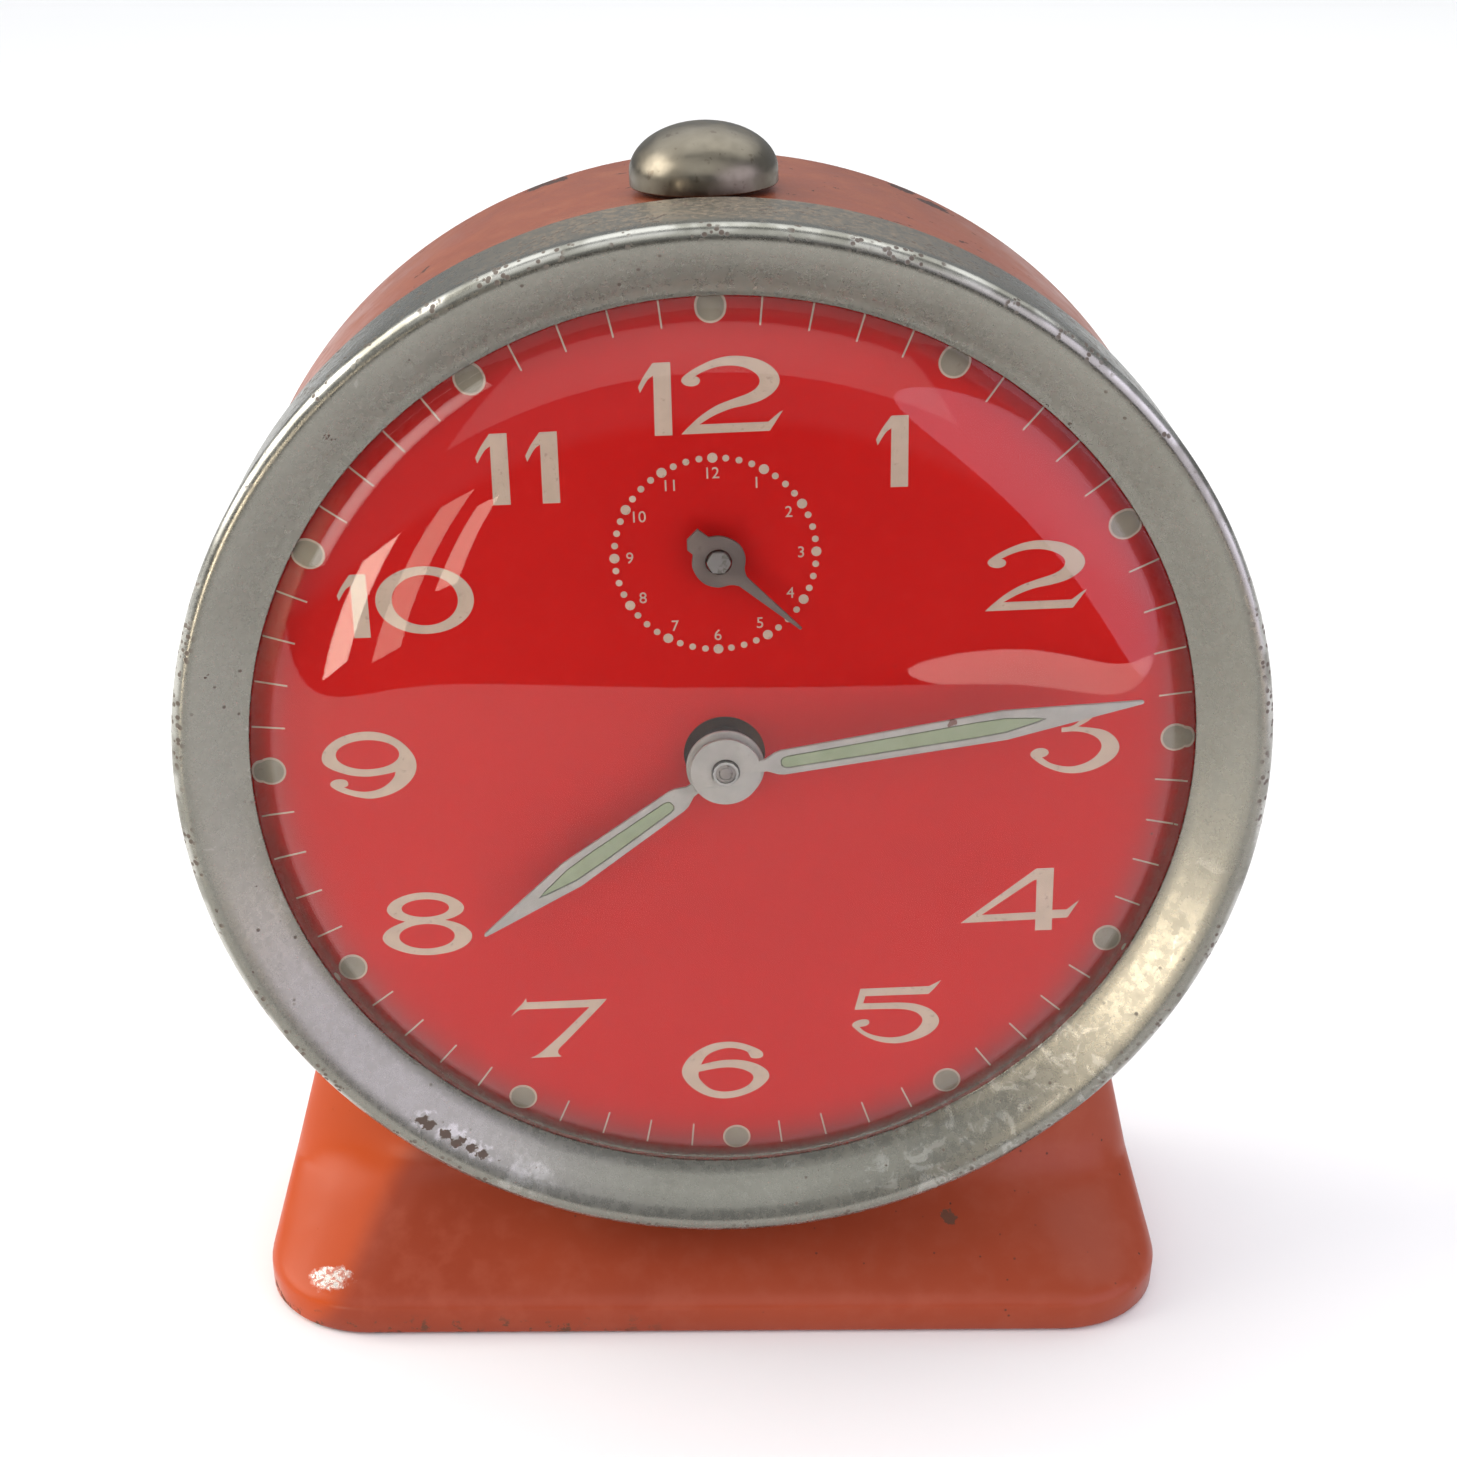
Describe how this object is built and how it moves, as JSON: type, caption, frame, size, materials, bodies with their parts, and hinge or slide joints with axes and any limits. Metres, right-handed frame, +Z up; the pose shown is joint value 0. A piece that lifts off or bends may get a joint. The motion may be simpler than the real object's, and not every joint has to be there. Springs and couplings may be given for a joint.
{
  "type": "wind-up alarm clock",
  "caption": "Round wind-up alarm clock on a pressed metal foot, with a nickel bezel under a domed glass, a red dial with an alarm sub-dial, a stop button on top and a full movement inside.",
  "frame": {"origin": "on the table plane, under the middle of the bounding box", "axes": "+Z up, +Y towards the back, so the dial faces -Y; +X to the right of someone who reads the dial"},
  "size_m": [0.102, 0.0572, 0.1194],
  "materials": {
    "coral_paint": "satin, worn",
    "red_print": "printed, satin",
    "satin_nickel": "satin, pitted",
    "bright_nickel": "polished, aged",
    "clear_glass": "polished",
    "hand_white": "satin, with a pale green luminous infill",
    "dark_bronze": "satin",
    "brass": "satin",
    "steel": "satin",
    "blued_steel": "blued"
  },
  "bodies": {
    "case": {"drum_case": "coral_paint", "foot": "coral_paint", "foot_screw_left": "steel", "foot_screw_right": "steel", "bezel": "satin_nickel", "crystal": "clear_glass", "dial": "red_print", "back_cover": "coral_paint", "cover_screw_1": "steel", "cover_screw_2": "steel", "cover_screw_3": "steel", "cover_screw_4": "steel", "button_bush": "steel", "front_plate": "brass", "back_plate": "brass", "pillar_1": "steel", "pillar_2": "steel", "pillar_3": "steel", "pillar_4": "steel", "bell": "bright_nickel", "bell_post": "steel", "hairspring": "blued_steel", "time_mainspring": "blued_steel", "alarm_mainspring": "blued_steel"},
    "minute_drive": {"centre_arbor": "steel", "cannon_pinion": "steel", "minute_hand": "hand_white", "time_set_knob": "brass"},
    "minute_wheel_body": {"minute_wheel": "brass"},
    "hour_drive": {"hour_wheel": "brass", "hour_hand": "hand_white"},
    "alarm_wheel_body": {"alarm_wheel": "brass"},
    "alarm_setting": {"alarm_arbor": "steel", "alarm_hand": "dark_bronze", "alarm_set_knob": "brass"},
    "fourth": {"fourth_wheel": "brass", "fourth_arbor": "steel"},
    "third": {"third_wheel": "brass", "third_arbor": "steel"},
    "centre": {"centre_wheel": "brass"},
    "escape": {"escape_wheel": "brass", "escape_arbor": "steel"},
    "lever": {"pallet_lever": "steel"},
    "balance": {"balance_wheel": "brass", "balance_staff": "steel"},
    "time_great": {"time_great_wheel": "brass"},
    "time_pawl": {"time_click": "steel"},
    "time_winding": {"time_winding_arbor": "steel", "time_winding_key": "brass"},
    "alarm_great": {"alarm_great_wheel": "brass"},
    "alarm_pawl": {"alarm_click": "steel"},
    "alarm_winding": {"alarm_winding_arbor": "steel", "alarm_winding_key": "brass"},
    "alarm_escape": {"alarm_escape_wheel": "brass"},
    "hammer_body": {"hammer": "steel"},
    "regulator": {"regulator_lever": "steel"},
    "button": {"stop_button": "bright_nickel", "button_stem": "steel"}
  },
  "joints": [
    {"name": "minute_turn", "type": "hinge", "parent": "case", "child": "minute_drive", "pos_m": [0, -0.0256, 0.06324], "axis": [0, 1, 0], "continuous": true},
    {"name": "minute_wheel_turn", "type": "hinge", "parent": "case", "child": "minute_wheel_body", "pos_m": [-0.01048, -0.0194, 0.05656], "axis": [0, 1, 0], "continuous": true},
    {"name": "hour_turn", "type": "hinge", "parent": "case", "child": "hour_drive", "pos_m": [0, -0.0256, 0.06324], "axis": [0, 1, 0], "continuous": true},
    {"name": "alarm_wheel_turn", "type": "hinge", "parent": "case", "child": "alarm_wheel_body", "pos_m": [-0.00087, -0.0194, 0.08312], "axis": [0, 1, 0], "continuous": true},
    {"name": "alarm_set_turn", "type": "hinge", "parent": "case", "child": "alarm_setting", "pos_m": [-0.00087, -0.0225, 0.08312], "axis": [0, 1, 0], "continuous": true},
    {"name": "fourth_wheel_turn", "type": "hinge", "parent": "case", "child": "fourth", "pos_m": [0.01531, -0.0066, 0.08848], "axis": [0, 1, 0], "continuous": true},
    {"name": "third_wheel_turn", "type": "hinge", "parent": "case", "child": "third", "pos_m": [0.01293, -0.0096, 0.07429], "axis": [0, 1, 0], "continuous": true},
    {"name": "centre_wheel_turn", "type": "hinge", "parent": "case", "child": "centre", "pos_m": [0, -0.0013, 0.06324], "axis": [0, 1, 0], "continuous": true},
    {"name": "escape_wheel_turn", "type": "hinge", "parent": "case", "child": "escape", "pos_m": [0.02676, -0.0126, 0.08531], "axis": [0, 1, 0], "continuous": true},
    {"name": "time_great_turn", "type": "hinge", "parent": "case", "child": "time_great", "pos_m": [-0.0149, -0.0136, 0.05051], "axis": [0, 1, 0], "continuous": true},
    {"name": "time_winding_turn", "type": "hinge", "parent": "time_great", "child": "time_winding", "pos_m": [-0.0149, -0.0136, 0.05051], "axis": [0, 1, 0], "continuous": true},
    {"name": "time_click_turn", "type": "hinge", "parent": "time_great", "child": "time_pawl", "pos_m": [-0.00751, -0.0118, 0.05084], "axis": [0, 1, 0], "range_deg": [0, 12], "stiffness_Nm_per_rad": 0.0002},
    {"name": "alarm_great_turn", "type": "hinge", "parent": "case", "child": "alarm_great", "pos_m": [0.01801, -0.0136, 0.05194], "axis": [0, 1, 0], "continuous": true},
    {"name": "alarm_winding_turn", "type": "hinge", "parent": "alarm_great", "child": "alarm_winding", "pos_m": [0.01801, -0.0136, 0.05194], "axis": [0, 1, 0], "continuous": true},
    {"name": "alarm_click_turn", "type": "hinge", "parent": "alarm_great", "child": "alarm_pawl", "pos_m": [0.0254, -0.0118, 0.05226], "axis": [0, 1, 0], "range_deg": [0, 12], "stiffness_Nm_per_rad": 0.0002},
    {"name": "alarm_escape_turn", "type": "hinge", "parent": "case", "child": "alarm_escape", "pos_m": [0.01368, -0.0014, 0.03821], "axis": [0, 1, 0], "continuous": true},
    {"name": "pallet_swing", "type": "hinge", "parent": "case", "child": "lever", "pos_m": [0.02982, -0.011, 0.07791], "axis": [0, 1, 0], "range_deg": [-5, 5]},
    {"name": "balance_swing", "type": "hinge", "parent": "case", "child": "balance", "pos_m": [0.02665, -0.0056, 0.06896], "axis": [0, 1, 0], "range_deg": [-135, 135], "stiffness_Nm_per_rad": 0.00001},
    {"name": "hammer_swing", "type": "hinge", "parent": "case", "child": "hammer_body", "pos_m": [0.00626, -0.0014, 0.03656], "axis": [0, 1, 0], "range_deg": [-5.5, 5.5]},
    {"name": "regulator_turn", "type": "hinge", "parent": "case", "child": "regulator", "pos_m": [0.02665, 0.0026, 0.06896], "axis": [0, 1, 0], "range_deg": [-16, 16]},
    {"name": "stop_button_slide", "type": "slide", "parent": "case", "child": "button", "axis": [-0.0436, 0, 0.999], "range_m": [0, 0.0035]}
  ],
  "couplings": [
    {"joint": "minute_wheel_turn", "follows": "minute_turn", "ratio": -0.33333},
    {"joint": "hour_turn", "follows": "minute_turn", "ratio": 0.083333},
    {"joint": "alarm_wheel_turn", "follows": "minute_turn", "ratio": -0.083333},
    {"joint": "third_wheel_turn", "follows": "fourth_wheel_turn", "ratio": -0.125},
    {"joint": "centre_wheel_turn", "follows": "fourth_wheel_turn", "ratio": 0.016667},
    {"joint": "escape_wheel_turn", "follows": "fourth_wheel_turn", "ratio": -8},
    {"joint": "time_great_turn", "follows": "fourth_wheel_turn", "ratio": -0.0027778},
    {"joint": "alarm_escape_turn", "follows": "alarm_great_turn", "ratio": -5}
  ]
}
